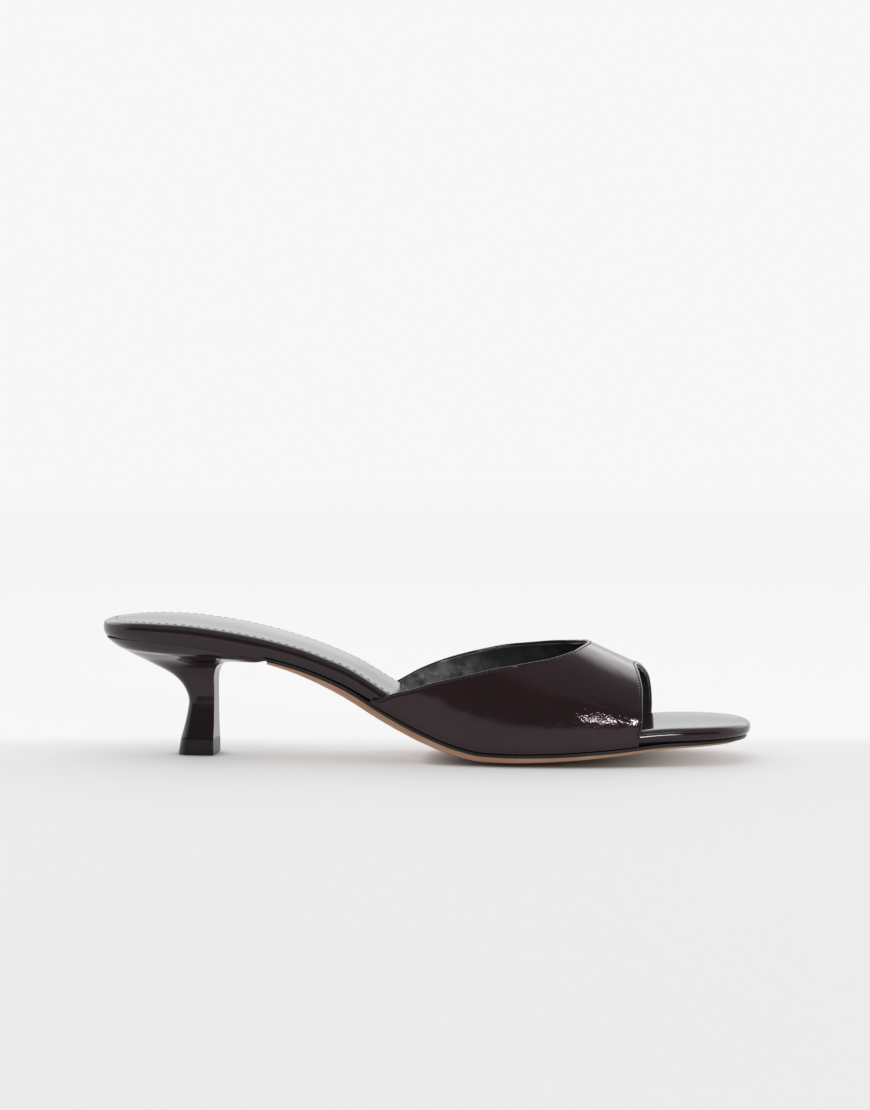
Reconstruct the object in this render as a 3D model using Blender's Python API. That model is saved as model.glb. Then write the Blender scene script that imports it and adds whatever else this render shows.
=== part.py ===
"""Open-toe kitten heel mule, a right shoe, standing on its heel tip and its ball.

Units are metres. +X points at the toe, +Z up, and -Y is the lateral side. The origin is under the
middle of the shoe, on the floor. Distances along the shoe are measured from the back of the heel.
"""
import bpy
import bmesh
from collections import namedtuple
from math import cos, sin, pi, sqrt, hypot, radians

# Driving dimensions
LENGTH = 0.242                  # back of the heel to the tip of the toe
LATERAL_WIDTH = 0.0373          # axis to the lateral edge at the ball
MEDIAL_WIDTH = 0.0380           # axis to the medial edge at the ball
HEEL_HEIGHT = 0.0443            # floor to the underside of the rand at the back
BALL_HEIGHT = 0.00325           # floor to the underside of the rand at the ball
TOE_SPRING = 0.0050             # rise of the rand from the ball to the toe
HEEL_ROUND = 0.030              # length over which the back of the outline closes
HEEL_ROUND_POWER = 2.3          # 2 is an ellipse, more is squarer
TOE_ROUND = 0.026               # length over which the toe closes
TOE_ROUND_POWER = 2.5

# Thicknesses and fits
SOCK_THICKNESS = 0.0018
FOOTBED_THICKNESS = 0.0042
RAND_THICKNESS = 0.00125
OUTSOLE_EDGE = 0.0017           # thickness of the outsole at its edge
OUTSOLE_CROWN = 0.0017          # how much lower the middle of the outsole is than its edge
CROWN_FLAT = 0.46               # share of its half width over which the crown is level
OUTSOLE_UNDERCUT = 0.0003       # the outsole's underside lies this far inside its edge
UPPER_WALL = 0.0016
GAP = 0.0003                    # between curved pieces that touch on the real shoe
UPPER_CLEARANCE = 0.0004        # between the upper and the edge of the footbed
DISH = 0.0007                   # hollow of the footbed across the foot
SOCK_ROLL = 0.0045               # the sock's edge rolls over this far in
SOCK_ROLL_DROP = 0.0015          # and comes down by this
FLOOR = 0.0

# Upper
INSTEP_HEIGHT = 0.0433          # floor to the outside of the upper at the throat
CREST_OFFSET = 0.004            # the crest of the upper lies this far medial of the axis
SECTION_POWER = 2.3             # 2 is an ellipse, more is boxier
BOTTOM_TUCK = 0.0005            # how far the upper turns in under its lower edge
TUCK_HEIGHT = 0.0024

# Heel
LIP_END = 0.0640                # front edge of the heel's lip, from the back of the heel
SEAT_INSET = 0.0024             # the heel's seat lies this far inside the outline
STEM_BACK = 0.0320              # back of the stem where it is slimmest
BREAST = 0.0423                 # breast, from the back of the heel
STEM_WIDTH = 0.0100             # across the stem where it is slimmest
TIP_LENGTH = 0.0143             # top piece on the floor
TIP_WIDTH = 0.0150
TIP_HEIGHT = 0.0060
TIP_TAPER = 0.0011              # the tip leans back by this over its height
TIP_NARROWING = 0.0002          # and each side comes in by this
HEEL_TURN = radians(3.0)        # the breast is turned with the heel seat
STEM_TOP = 0.45                 # where the flare ends, as a share of the heel's height
HEEL_ROUND_PLAN = 2.5           # how round the back of a section is
SEAT_BACK = 0.42                # share of a section's length that is rounded, at the seat
STEM_BACK_SHARE = 0.45          # the same for the stem
COVER_STEP = 0.0003             # the covered heel stands in from its top piece by this

# Resolution
STATIONS = 48
UPPER_TURNS = 36
UPPER_RUNS = 22
HEEL_STEPS = 14
COLUMNS = (-1.0, -0.72, -0.46, 0.0, 0.46, 0.72, 1.0)

COLLECTION = "kitten_heel_mule"

# Outline of the footbed before its ends are rounded: half widths as shares of the ball's
Outline = namedtuple("Outline", "share lateral medial")
OUTLINE = (
    Outline(0.00, 0.765, 0.745),
    Outline(0.12, 0.765, 0.745),
    Outline(0.20, 0.755, 0.715),
    Outline(0.30, 0.720, 0.590),
    Outline(0.40, 0.715, 0.500),
    Outline(0.50, 0.795, 0.566),
    Outline(0.58, 0.910, 0.750),
    Outline(0.66, 1.000, 0.935),
    Outline(0.73, 0.997, 1.000),
    Outline(0.80, 0.938, 0.987),
    Outline(0.88, 0.845, 0.916),
    Outline(0.94, 0.777, 0.855),
    Outline(1.00, 0.724, 0.790),
)

# Line of the rand's underside: rise is the share of the way from the ball up to the heel,
# and spring is the share of the toe spring
SoleLine = namedtuple("SoleLine", "share rise spring")
SOLE_LINE = (
    SoleLine(0.000, 1.000, 0.0),
    SoleLine(0.060, 0.998, 0.0),
    SoleLine(0.110, 0.976, 0.0),
    SoleLine(0.198, 0.903, 0.0),
    SoleLine(0.298, 0.768, 0.0),
    SoleLine(0.372, 0.600, 0.0),
    SoleLine(0.446, 0.346, 0.0),
    SoleLine(0.504, 0.172, 0.0),
    SoleLine(0.554, 0.060, 0.0),
    SoleLine(0.600, 0.006, 0.0),
    SoleLine(0.640, 0.000, 0.0),
    SoleLine(0.690, 0.000, 0.03),
    SoleLine(0.785, 0.000, 0.31),
    SoleLine(0.885, 0.000, 0.80),
    SoleLine(1.000, 0.000, 1.0),
)

# What the layers do along the shoe: footbed and outsole as shares of their thicknesses, tuck,
# rand_inset and sole_inset as how far the footbed's underside and the edges of the rand and the
# outsole lie inside the outline, in millimetres
Layers = namedtuple("Layers", "share footbed outsole tuck rand_inset sole_inset")
LAYERS = (
    Layers(0.00, 0.70, 0.30, 2.0, 2.0, 1.9),
    Layers(0.06, 0.74, 0.30, 1.9, 1.9, 1.8),
    Layers(0.15, 0.96, 0.30, 1.6, 1.6, 1.5),
    Layers(0.25, 1.02, 0.34, 1.3, 1.2, 1.0),
    Layers(0.33, 1.03, 0.76, 1.3, 1.0, 0.8),
    Layers(0.40, 1.08, 1.06, 1.3, 0.7, 0.5),
    Layers(0.46, 1.08, 1.06, 1.3, -0.7, -0.5),
    Layers(0.62, 1.02, 0.94, 1.3, -1.0, -0.8),
    Layers(0.80, 0.86, 0.56, 1.3, -0.9, -0.6),
    Layers(0.86, 0.78, 0.42, 1.3, 0.3, 0.6),
    Layers(0.91, 0.70, 0.32, 1.3, 1.0, 1.4),
    Layers(0.96, 0.62, 0.27, 1.2, 1.2, 2.8),
    Layers(1.00, 0.55, 0.24, 1.2, 1.6, 4.5),
)

# Crest of the upper, which behind its throat is where the foot's instep would carry it on
Crest = namedtuple("Crest", "share height")
CREST = (
    Crest(0.40, 1.780),
    Crest(0.50, 1.605),
    Crest(0.60, 1.385),
    Crest(0.70, 1.113),
    Crest(0.75, 0.984),
    Crest(0.80, 0.857),
    Crest(0.83, 0.786),
    Crest(0.87, 0.712),
)
# Topline of the upper from its lateral rear tip over the throat to its medial rear tip. turn is
# the place round the section, 0 and 1 at the feather edges and 0.5 at the crest
Topline = namedtuple("Topline", "turn share")
TOPLINE = (
    Topline(0.0000, 0.4227),
    Topline(0.0175, 0.4420),
    Topline(0.0330, 0.4560),
    Topline(0.0630, 0.4880),
    Topline(0.0960, 0.5210),
    Topline(0.1540, 0.5870),
    Topline(0.2150, 0.6530),
    Topline(0.2890, 0.7060),
    Topline(0.3830, 0.7370),
    Topline(0.5000, 0.7487),
    Topline(0.6120, 0.7350),
    Topline(0.6700, 0.7140),
    Topline(0.7180, 0.6840),
    Topline(0.7580, 0.6530),
    Topline(0.8135, 0.5920),
    Topline(0.8760, 0.5250),
    Topline(0.9283, 0.4790),
    Topline(0.9510, 0.4620),
    Topline(0.9750, 0.4430),
    Topline(1.0000, 0.4130),
)
# Front edge of the upper round the toe opening, from the lateral feather edge to the medial one
FrontEdge = namedtuple("FrontEdge", "turn share")
FRONT_EDGE = (
    FrontEdge(0.00, 0.8350),
    FrontEdge(0.10, 0.8405),
    FrontEdge(0.25, 0.8395),
    FrontEdge(0.40, 0.8310),
    FrontEdge(0.50, 0.8240),
    FrontEdge(0.60, 0.8292),
    FrontEdge(0.75, 0.8392),
    FrontEdge(0.90, 0.8412),
    FrontEdge(1.00, 0.8395),
)

# Heel below its seat. back is how far a section's back has come from the seat to the stem, and
# front how far its front has come from the lip to the breast. back_height and front_height are
# shares of the heel's height, and half is its share of the way from the stem's width to the seat's
HeelSection = namedtuple("HeelSection", "back back_height front front_height half")
HEEL_FLARE = (
    HeelSection(0.088, 0.930, 0.04, 0.820, 0.850),
    HeelSection(0.172, 0.895, 0.20, 0.812, 0.680),
    HeelSection(0.294, 0.848, 0.42, 0.806, 0.505),
    HeelSection(0.423, 0.805, 0.63, 0.802, 0.355),
    HeelSection(0.548, 0.760, 0.79, 0.790, 0.232),
    HeelSection(0.674, 0.717, 0.91, 0.764, 0.145),
    HeelSection(0.799, 0.667, 0.97, 0.720, 0.070),
    HeelSection(0.906, 0.600, 1.00, 0.655, 0.024),
    HeelSection(0.974, 0.520, 1.00, 0.550, 0.000),
)
HeelStem = namedtuple("HeelStem", "height back half")
HEEL_STEM = (
    HeelStem(1.00, 0.00, 0.06),
    HeelStem(0.70, 0.18, 0.18),
    HeelStem(0.35, 0.55, 0.42),
    HeelStem(0.00, 1.00, 1.00),
)


def blend(rows, key, value, at):
    """Smooth curve through one column of a table, which never overshoots its rows."""
    xs = [getattr(row, key) for row in rows]
    ys = [getattr(row, value) for row in rows]
    if at <= xs[0]:
        return ys[0]
    if at >= xs[-1]:
        return ys[-1]
    slopes = [(b - a) / (d - c) for a, b, c, d in zip(ys, ys[1:], xs, xs[1:])]
    tangents = [slopes[0]]
    for before, after in zip(slopes, slopes[1:]):
        tangents.append(0.0 if before * after <= 0 else 2 * before * after / (before + after))
    tangents.append(slopes[-1])
    i = max(k for k in range(len(xs) - 1) if xs[k] <= at)
    step = xs[i + 1] - xs[i]
    t = (at - xs[i]) / step
    return ((2 * t**3 - 3 * t**2 + 1) * ys[i] + (t**3 - 2 * t**2 + t) * step * tangents[i]
            + (3 * t**2 - 2 * t**3) * ys[i + 1] + (t**3 - t**2) * step * tangents[i + 1])


def lerp(a, b, t):
    return a + (b - a) * t


def end_round(distance, length, power):
    """Share of the full width that is left this near a rounded end."""
    if distance >= length:
        return 1.0
    return max(0.0, 1.0 - (1.0 - max(distance, 0.0) / length) ** power) ** (1.0 / power)


def half_width(x, side):
    """Half width of the outline at x, on the lateral (-1) or medial (+1) side."""
    column, ball = ("lateral", LATERAL_WIDTH) if side < 0 else ("medial", MEDIAL_WIDTH)
    full = ball * blend(OUTLINE, "share", column, x / LENGTH)
    return (full * end_round(x, HEEL_ROUND, HEEL_ROUND_POWER)
            * end_round(LENGTH - x, TOE_ROUND, TOE_ROUND_POWER))


def outset_width(x, side, distance):
    """Half width of a form that stands this far outside the outline, square to it."""
    step = 0.001
    slope = (half_width(x + step, side) - half_width(x - step, side)) / (2 * step)
    return half_width(x, side) + distance * sqrt(1 + slope * slope)


def sole_line(x):
    """Height of the rand's underside."""
    share = x / LENGTH
    return (BALL_HEIGHT + (HEEL_HEIGHT - BALL_HEIGHT) * blend(SOLE_LINE, "share", "rise", share)
            + TOE_SPRING * blend(SOLE_LINE, "share", "spring", share))


def above_line(x, depth):
    """Height of a surface that lies depth above the sole line, square to its slope."""
    step = 0.002
    slope = (sole_line(x + step) - sole_line(x - step)) / (2 * step)
    return sole_line(x) + depth * sqrt(1 + slope * slope)


def layer(x, column):
    return blend(LAYERS, "share", column, x / LENGTH)


def rand_top(x):
    return above_line(x, RAND_THICKNESS)


def footbed_bottom(x):
    return above_line(x, RAND_THICKNESS + GAP)


def footbed_top(x):
    return above_line(x, RAND_THICKNESS + GAP + FOOTBED_THICKNESS * layer(x, "footbed"))


def sock_bottom(x):
    return footbed_top(x) + GAP


def sock_top(x):
    return sock_bottom(x) + SOCK_THICKNESS


def outsole_top(x):
    return above_line(x, -GAP)


def tip_fade(x):
    """1 along the shoe, falling to 0 at the tips of the outline."""
    return end_round(x, HEEL_ROUND, 2.0) * end_round(LENGTH - x, TOE_ROUND, 2.0)


def outsole_bottom(x, across):
    """Underside of the outsole: crowned between its edges, and worn flat on the floor."""
    edge = above_line(x, -GAP - OUTSOLE_EDGE * layer(x, "outsole"))
    fade = min(1.0, layer(x, "outsole")) * tip_fade(x)
    bend = max(0.0, (abs(across) - CROWN_FLAT) / (1.0 - CROWN_FLAT))
    crown = OUTSOLE_CROWN * fade * (1.0 - bend * bend)
    return max(FLOOR, edge - crown)


def dish(x, across):
    """Depth of the hollow across the footbed, which its edges and its two ends don't have."""
    return -DISH * (1.0 - across * across) * tip_fade(x)


def outline_point(turn, start, end, side, inset):
    """Point of the outline at turn 0 to 1 from start to end, moved inwards by inset."""
    def plain(t):
        x = start + (end - start) * (1.0 - cos(pi * t)) / 2
        return x, half_width(x, side)
    step = 0.003
    (xa, wa), (xb, wb) = plain(max(0.0, turn - step)), plain(min(1.0, turn + step))
    size = hypot(xb - xa, wb - wa)
    x, width = plain(turn)
    if width <= 0.0:
        return (x + inset if turn < 0.5 else x - inset), 0.0
    return x + inset * (wb - wa) / size, max(0.0, width - inset * (xb - xa) / size)


def plate(name, start, end, levels, material):
    """Closed plate on the shoe's outline. levels run from its lower cap to its upper cap,
    each a pair of functions: how far in its edge lies at x, and its height at x and across."""
    mesh = bmesh.new()
    turns = [i / STATIONS for i in range(STATIONS + 1)]

    def grid(inset_at, height_at):
        rows = []
        for turn in turns:
            plain_x = start + (end - start) * (1.0 - cos(pi * turn)) / 2
            inset = inset_at(plain_x)
            ax, aw = outline_point(turn, start, end, -1, inset)
            bx, bw = outline_point(turn, start, end, 1, inset)
            row = []
            closed = aw + bw < 0.00001
            for across in COLUMNS:
                t = (across + 1) / 2
                x = lerp(ax, bx, t)
                height = height_at(x, 1.0 if closed else across)
                row.append(mesh.verts.new((x, lerp(-aw, bw, t), height)))
            rows.append(row)
        return rows

    def rim(rows):
        side_a = [row[0] for row in rows]
        side_b = [row[-1] for row in reversed(rows)]
        return side_a + rows[-1][1:] + side_b[1:] + list(reversed(rows[0][1:-1]))

    grids = [grid(*level) for level in levels]
    for rows, upward in ((grids[0], False), (grids[-1], True)):
        for near, far in zip(rows, rows[1:]):
            for a, b, c, d in zip(near, near[1:], far[1:], far):
                mesh.faces.new((a, d, c, b) if upward else (a, b, c, d))
    for low, high in zip(grids, grids[1:]):
        low_rim, high_rim = rim(low), rim(high)
        count = len(low_rim)
        for i in range(count):
            j = (i + 1) % count
            mesh.faces.new((low_rim[i], low_rim[j], high_rim[j], high_rim[i]))
    # Inner vertices of the levels between the caps carry no face
    loose = [vertex for vertex in mesh.verts if not vertex.link_faces]
    bmesh.ops.delete(mesh, geom=loose, context="VERTS")
    return finish(name, mesh, material)


def finish(name, mesh, material):
    """Centres a mesh on the origin, closes its seams and adds it to the scene."""
    bmesh.ops.remove_doubles(mesh, verts=mesh.verts, dist=0.00001)
    bmesh.ops.dissolve_degenerate(mesh, edges=mesh.edges, dist=0.000005)
    bmesh.ops.translate(mesh, verts=mesh.verts, vec=(-LENGTH / 2, -axis_shift(), 0.0))
    bmesh.ops.triangulate(mesh, faces=mesh.faces)
    bmesh.ops.recalc_face_normals(mesh, faces=mesh.faces)
    data = bpy.data.meshes.new(name)
    mesh.to_mesh(data)
    mesh.free()
    data.shade_smooth()
    data.set_sharp_from_angle(angle=radians(35))
    data.materials.append(material)
    part = bpy.data.objects.new(name, data)
    bpy.data.collections[COLLECTION].objects.link(part)
    return part


def axis_shift():
    """How far the middle of the shoe's width lies from its axis."""
    samples = [LENGTH * i / 200 for i in range(201)]
    medial = max(half_width(x, 1) for x in samples)
    lateral = max(half_width(x, -1) for x in samples)
    return (medial - lateral) / 2


def material(name, colour, roughness):
    surface = bpy.data.materials.new(name)
    surface.use_nodes = True
    shader = surface.node_tree.nodes["Principled BSDF"]
    shader.inputs["Base Color"].default_value = (*colour, 1.0)
    shader.inputs["Roughness"].default_value = roughness
    shader.inputs["Metallic"].default_value = 0.0
    return surface


def make_sock():
    """Sock lining, whose edge rolls over softly all the way round."""
    def edge(turn):
        return (lambda x: SOCK_ROLL * (1.0 - cos(turn)),
                lambda x, a: sock_top(x) - SOCK_ROLL_DROP * (1.0 - sin(turn)))
    return plate("sock", 0.0, LENGTH, (
        (lambda x: 0.0, lambda x, a: sock_bottom(x) + dish(x, a)),
        edge(0.0),
        edge(radians(30.0)),
        edge(radians(60.0)),
        (lambda x: SOCK_ROLL, lambda x, a: sock_top(x) + dish(x, a)),
    ), material("sock_lining", (0.045, 0.034, 0.036), 0.25))


def make_footbed():
    def edge(tuck_share, height_share):
        return (lambda x: 0.001 * tuck_share * layer(x, "tuck"),
                lambda x, a: lerp(footbed_bottom(x), footbed_top(x), height_share))
    return plate("footbed", 0.0, LENGTH, (
        edge(1.0, 0.0),
        edge(0.4, 0.24),
        edge(0.1, 0.60),
        (lambda x: 0.0, lambda x, a: footbed_top(x) + dish(x, a)),
    ), material("wrapped_leather", (0.018, 0.011, 0.012), 0.3))


def make_rand():
    def inset(x):
        return 0.001 * layer(x, "rand_inset")
    return plate("rand", 0.0, LENGTH, (
        (inset, lambda x, a: sole_line(x)),
        (inset, lambda x, a: rand_top(x)),
    ), material("rand_leather", (0.008, 0.006, 0.006), 0.4))


def make_outsole():
    def inset(x):
        return 0.001 * layer(x, "sole_inset")
    return plate("outsole", LIP_END + GAP, LENGTH, (
        (lambda x: inset(x) + OUTSOLE_UNDERCUT, outsole_bottom),
        (inset, lambda x, a: lerp(outsole_bottom(x, 1.0), outsole_top(x), 0.35)),
        (inset, lambda x, a: outsole_top(x)),
    ), material("tan_leather", (0.48, 0.30, 0.21), 0.45))


def crest_height(x):
    return INSTEP_HEIGHT * blend(CREST, "share", "height", x / LENGTH)


def upper_base(x):
    return rand_top(x) + GAP


def upper_outside(x, turn):
    """Outer face of the upper: upright beside the footbed, then arched over to the crest."""
    side = -1 if turn <= 0.5 else 1
    base, shoulder, crest = upper_base(x), sock_top(x), crest_height(x)
    height = base + (crest - base) * max(0.0, sin(pi * turn)) ** (2 / SECTION_POWER)
    climb = min(1.0, max(0.0, height - shoulder) / (crest - shoulder))
    width = outset_width(x, side, UPPER_CLEARANCE + UPPER_WALL) - side * CREST_OFFSET
    reach = width * max(0.0, 1.0 - climb ** SECTION_POWER) ** (1 / SECTION_POWER)
    tuck = BOTTOM_TUCK * max(0.0, 1.0 - (height - base) / TUCK_HEIGHT) ** 2
    return (x, CREST_OFFSET + side * (reach - tuck), height)


def upper_point(run, turn, depth):
    """Point of the upper from its topline (run 0) to the toe opening (run 1), depth inside."""
    rear = LENGTH * blend(TOPLINE, "turn", "share", turn)
    front = LENGTH * blend(FRONT_EDGE, "turn", "share", turn)
    x = lerp(rear, front, run)
    point = upper_outside(x, turn)
    if not depth:
        return point
    step_x, step_t = 0.0008, 0.004
    low_t, high_t = max(0.0, turn - step_t), min(1.0, turn + step_t)
    ax, bx = upper_outside(x - step_x, turn), upper_outside(x + step_x, turn)
    at, bt = upper_outside(x, low_t), upper_outside(x, high_t)
    along = [b - a for a, b in zip(ax, bx)]
    across = [b - a for a, b in zip(at, bt)]
    normal = (along[1] * across[2] - along[2] * across[1],
              along[2] * across[0] - along[0] * across[2],
              along[0] * across[1] - along[1] * across[0])
    if turn in (0.0, 1.0):
        return point[0], point[1] + (depth if turn == 0.0 else -depth), point[2]
    size = sqrt(sum(n * n for n in normal))
    return tuple(p - depth * n / size for p, n in zip(point, normal))


def make_upper():
    """One wall of leather, outer and inner face joined round all four borders."""
    mesh = bmesh.new()
    turns = [i / UPPER_TURNS for i in range(UPPER_TURNS + 1)]
    runs = [i / UPPER_RUNS for i in range(UPPER_RUNS + 1)]
    faces = []
    for depth in (0.0, UPPER_WALL):
        faces.append([[mesh.verts.new(upper_point(run, turn, depth)) for run in runs]
                      for turn in turns])
    for grid in faces:
        for near, far in zip(grid, grid[1:]):
            for a, b, c, d in zip(near, near[1:], far[1:], far):
                mesh.faces.new((a, b, c, d))
    outer, inner = ([grid[0] + [row[-1] for row in grid[1:]] + grid[-1][-2::-1]
                     + [row[0] for row in grid[-2:0:-1]] for grid in faces])
    count = len(outer)
    for i in range(count):
        j = (i + 1) % count
        mesh.faces.new((outer[i], outer[j], inner[j], inner[i]))
    return finish("upper", mesh, material("upper_leather", (0.018, 0.011, 0.012), 0.3))


def heel_loop(mesh, back, front, half_a, half_b, roundness, heights, turned):
    """Ring of a heel section: round at the back, flat across the front."""
    ring = []
    steps = range(HEEL_STEPS + 1)

    def place(x, y, height):
        swing = turned * sin(HEEL_TURN)
        middle = (STEM_BACK + BREAST) / 2
        return mesh.verts.new((x + y * swing, y - (x - middle) * swing, height))

    def station(step):
        share = 1.0 - cos(pi * step / HEEL_STEPS / 2)
        return lerp(back, front, share), share

    sides = []
    for side in (-1, 1):
        points = []
        for step in steps:
            x, share = station(step)
            half = half_a(x) if side < 0 else half_b(x)
            fullness = end_round(share, roundness, HEEL_ROUND_PLAN)
            points.append((x, side * half * fullness, heights(x, share)))
        sides.append(points)
    for point in sides[0]:
        ring.append(place(*point))
    for point in reversed(sides[1][1:]):
        ring.append(place(*point))
    return ring


def make_heel():
    """Covered heel: its seat follows the outline, and it flares in to a slim stem."""
    mesh = bmesh.new()
    half_stem = STEM_WIDTH / 2
    half_tip = TIP_WIDTH / 2
    seat_half = LATERAL_WIDTH * OUTLINE[0].lateral - SEAT_INSET
    rings = []

    def seat_side(side, inset):
        return lambda x: max(0.0005, half_width(x, side) - inset)

    def under_rand(x, share):
        return above_line(x, -GAP)

    rings.append(heel_loop(mesh, SEAT_INSET, LIP_END, seat_side(-1, SEAT_INSET),
                           seat_side(1, SEAT_INSET), 0.03, under_rand, 0.0))
    for row in HEEL_FLARE:
        back = lerp(SEAT_INSET, STEM_BACK, row.back)
        front = lerp(LIP_END, BREAST, row.front)
        half = lerp(half_stem, seat_half, row.half)

        def heights(x, share, row=row):
            return HEEL_HEIGHT * lerp(row.back_height, row.front_height, share)
        roundness = lerp(STEM_BACK_SHARE, SEAT_BACK, row.half)
        rings.append(heel_loop(mesh, back, front, lambda x, h=half: h, lambda x, h=half: h,
                               roundness, heights, 1.0 - row.half))
    stem_top = HEEL_HEIGHT * STEM_TOP
    for row in HEEL_STEM:
        height = lerp(TIP_HEIGHT + GAP, stem_top, row.height)
        back = STEM_BACK - row.back * (STEM_BACK - BREAST + TIP_LENGTH - TIP_TAPER)
        half = lerp(half_stem, half_tip - COVER_STEP, row.half)
        rings.append(heel_loop(mesh, back, BREAST, lambda x, h=half: h, lambda x, h=half: h,
                               STEM_BACK_SHARE, lambda x, share, h=height: h, 1.0))
    for upper_ring, lower_ring in zip(rings, rings[1:]):
        count = len(upper_ring)
        for i in range(count):
            j = (i + 1) % count
            mesh.faces.new((upper_ring[i], upper_ring[j], lower_ring[j], lower_ring[i]))
    for ring in (rings[0], rings[-1]):
        mesh.faces.new(ring)
    cap = [face for face in mesh.faces if len(face.verts) > 4]
    bmesh.ops.triangulate(mesh, faces=cap)
    return finish("heel", mesh, material("heel_cover", (0.018, 0.011, 0.012), 0.15))


def make_top_piece():
    """Hard tip under the heel, flat on the floor."""
    mesh = bmesh.new()
    rings = []
    for share in (0.0, 1.0):
        back = BREAST - TIP_LENGTH + TIP_TAPER * share
        half = TIP_WIDTH / 2 - TIP_NARROWING * share
        height = FLOOR + TIP_HEIGHT * share
        rings.append(heel_loop(mesh, back, BREAST, lambda x, h=half: h, lambda x, h=half: h,
                               STEM_BACK_SHARE, lambda x, s, h=height: h, 1.0))
    low, high = rings
    for i in range(len(low)):
        j = (i + 1) % len(low)
        mesh.faces.new((low[i], low[j], high[j], high[i]))
    for ring in rings:
        mesh.faces.new(ring)
    return finish("top_piece", mesh, material("tip_rubber", (0.012, 0.009, 0.009), 0.5))


def main():
    for old in list(bpy.data.objects):
        bpy.data.objects.remove(old, do_unlink=True)
    collection = bpy.data.collections.new(COLLECTION)
    bpy.context.scene.collection.children.link(collection)
    make_top_piece()
    make_heel()
    make_outsole()
    make_rand()
    make_footbed()
    make_sock()
    make_upper()


main()
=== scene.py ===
"""Looks of the open-toe kitten heel mule: leathers, stitches, lining, floor, light and camera.

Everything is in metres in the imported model's frame. The shoe's forms are the part's own, from the
same named sizes and tables, made again here at a finer step: +X points at the toe and -Y is the
lateral side. Lengths along the shoe are measured from the back of the heel.
"""
from bisect import bisect_right
from collections import namedtuple
from math import acos, ceil, cos, exp, hypot, pi, radians, sin, sqrt

import bmesh
import bpy
from mathutils import Euler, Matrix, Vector, noise


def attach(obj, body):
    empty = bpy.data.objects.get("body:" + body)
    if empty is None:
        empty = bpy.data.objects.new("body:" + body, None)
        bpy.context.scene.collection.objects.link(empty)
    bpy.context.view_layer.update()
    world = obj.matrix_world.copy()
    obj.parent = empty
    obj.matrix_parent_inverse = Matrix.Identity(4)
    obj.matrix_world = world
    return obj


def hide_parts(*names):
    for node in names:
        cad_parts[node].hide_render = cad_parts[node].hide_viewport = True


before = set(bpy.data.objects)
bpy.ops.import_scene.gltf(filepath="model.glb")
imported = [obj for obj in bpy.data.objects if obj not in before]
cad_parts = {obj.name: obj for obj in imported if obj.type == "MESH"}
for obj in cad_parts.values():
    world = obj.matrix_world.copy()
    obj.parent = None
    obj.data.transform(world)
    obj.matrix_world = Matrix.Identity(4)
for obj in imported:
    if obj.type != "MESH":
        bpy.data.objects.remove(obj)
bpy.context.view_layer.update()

# ---------------------------------------------------------------- camera and studio
# Camera: a long lens a little above the shoe, turned towards the toe, framed for 870 by 1110
PHOTO_WIDTH = 870
CAMERA_PLACE = (0.17351, -1.98322, 0.21669)
CAMERA_PAN = radians(4.907)
CAMERA_TILT = radians(4.076)
FOCAL_PIXELS = 5360.6
SENSOR = 36.0
CAMERA_CLIP = (0.05, 50.0)

# Studio: white behind, brighter above that, dark round the camera, grey overhead
BACK_WHITE = 0.93
BACK_HIGH = 1.8
FRONT_DARK = 0.17
OVERHEAD = 0.38
FRONT_SPREAD = (0.10, 0.45)     # from white to dark, in the front half's cosine
BACK_SPREAD = (0.15, 0.50)      # the brighter part behind, in the back half's cosine
BACK_HIGH_START = (0.12, 0.26)  # and in the sine of height
OVERHEAD_START = (0.55, 0.80)   # from the surround to the overhead grey
TOP_LIGHT_PLACE = (0.0, 0.15, 2.2)
TOP_LIGHT_SIZE = (2.4, 2.4)
TOP_LIGHT_POWER = 21.0
FRONT_BOX_AZIMUTH = radians(17.4)
FRONT_BOX_HEIGHT = radians(14.0)
FRONT_BOX_DISTANCE = 2.4
FRONT_BOX_SIZE = (0.22, 0.17)
FRONT_BOX_RADIANCE = 60.0
FLOOR_LEVEL = -0.0002
FLOOR_SIZE = 60.0
FLOOR_FRONT = 0.80              # tone of the paper in front of the shoe
FLOOR_BACK = 0.895
FLOOR_LIT = 0.60                # share of the tone that the light on the paper gives
FLOOR_TURN = (0.030, 0.075)     # the paper's tone changes over this, behind the shoe's axis
FLOOR_PAINTED_FILL = 0.42               # share of its tone that the lit paper gives off by itself, a painted fill light that lifts its shadows
FLOOR_FADE = (0.9, 1.8)         # the paper turns into the plain white surround over this
PAINTED_SHADOW_REACH = 0.007           # the glow fades this near to what stands on the paper: a painted contact shadow
PAINTED_SHADOW_POWER = 1.4
PAINTED_SHADOW_SAMPLES = 12
FLOOR_ROUGHNESS = 0.75
FLOOR_SHINE = 0.1


def table(columns, rows):
    """The rows of a table, with its columns by name."""
    kind = namedtuple("Row", columns)
    return [kind(*row) for row in rows]


# ---------------------------------------------------------------- the part's sizes
LENGTH = 0.242
LATERAL_WIDTH = 0.0373
MEDIAL_WIDTH = 0.0380
HEEL_HEIGHT = 0.0443
BALL_HEIGHT = 0.00325
TOE_SPRING = 0.0050
HEEL_ROUND, HEEL_ROUND_POWER = 0.030, 2.3
TOE_ROUND, TOE_ROUND_POWER = 0.026, 2.5
SOCK_THICKNESS = 0.0018
FOOTBED_THICKNESS = 0.0042
RAND_THICKNESS = 0.00125
OUTSOLE_EDGE = 0.0017
OUTSOLE_CROWN = 0.0017
CROWN_FLAT = 0.46
UPPER_WALL = 0.0016
GAP = 0.0003
UPPER_CLEARANCE = 0.0004
DISH = 0.0007
SOCK_ROLL = 0.0045
SOCK_ROLL_DROP = 0.0015
FLOOR = 0.0
INSTEP_HEIGHT = 0.0433
CREST_OFFSET = 0.004
SECTION_POWER = 2.3
BOTTOM_TUCK = 0.0005
TUCK_HEIGHT = 0.0024
LIP_END = 0.0640
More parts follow.
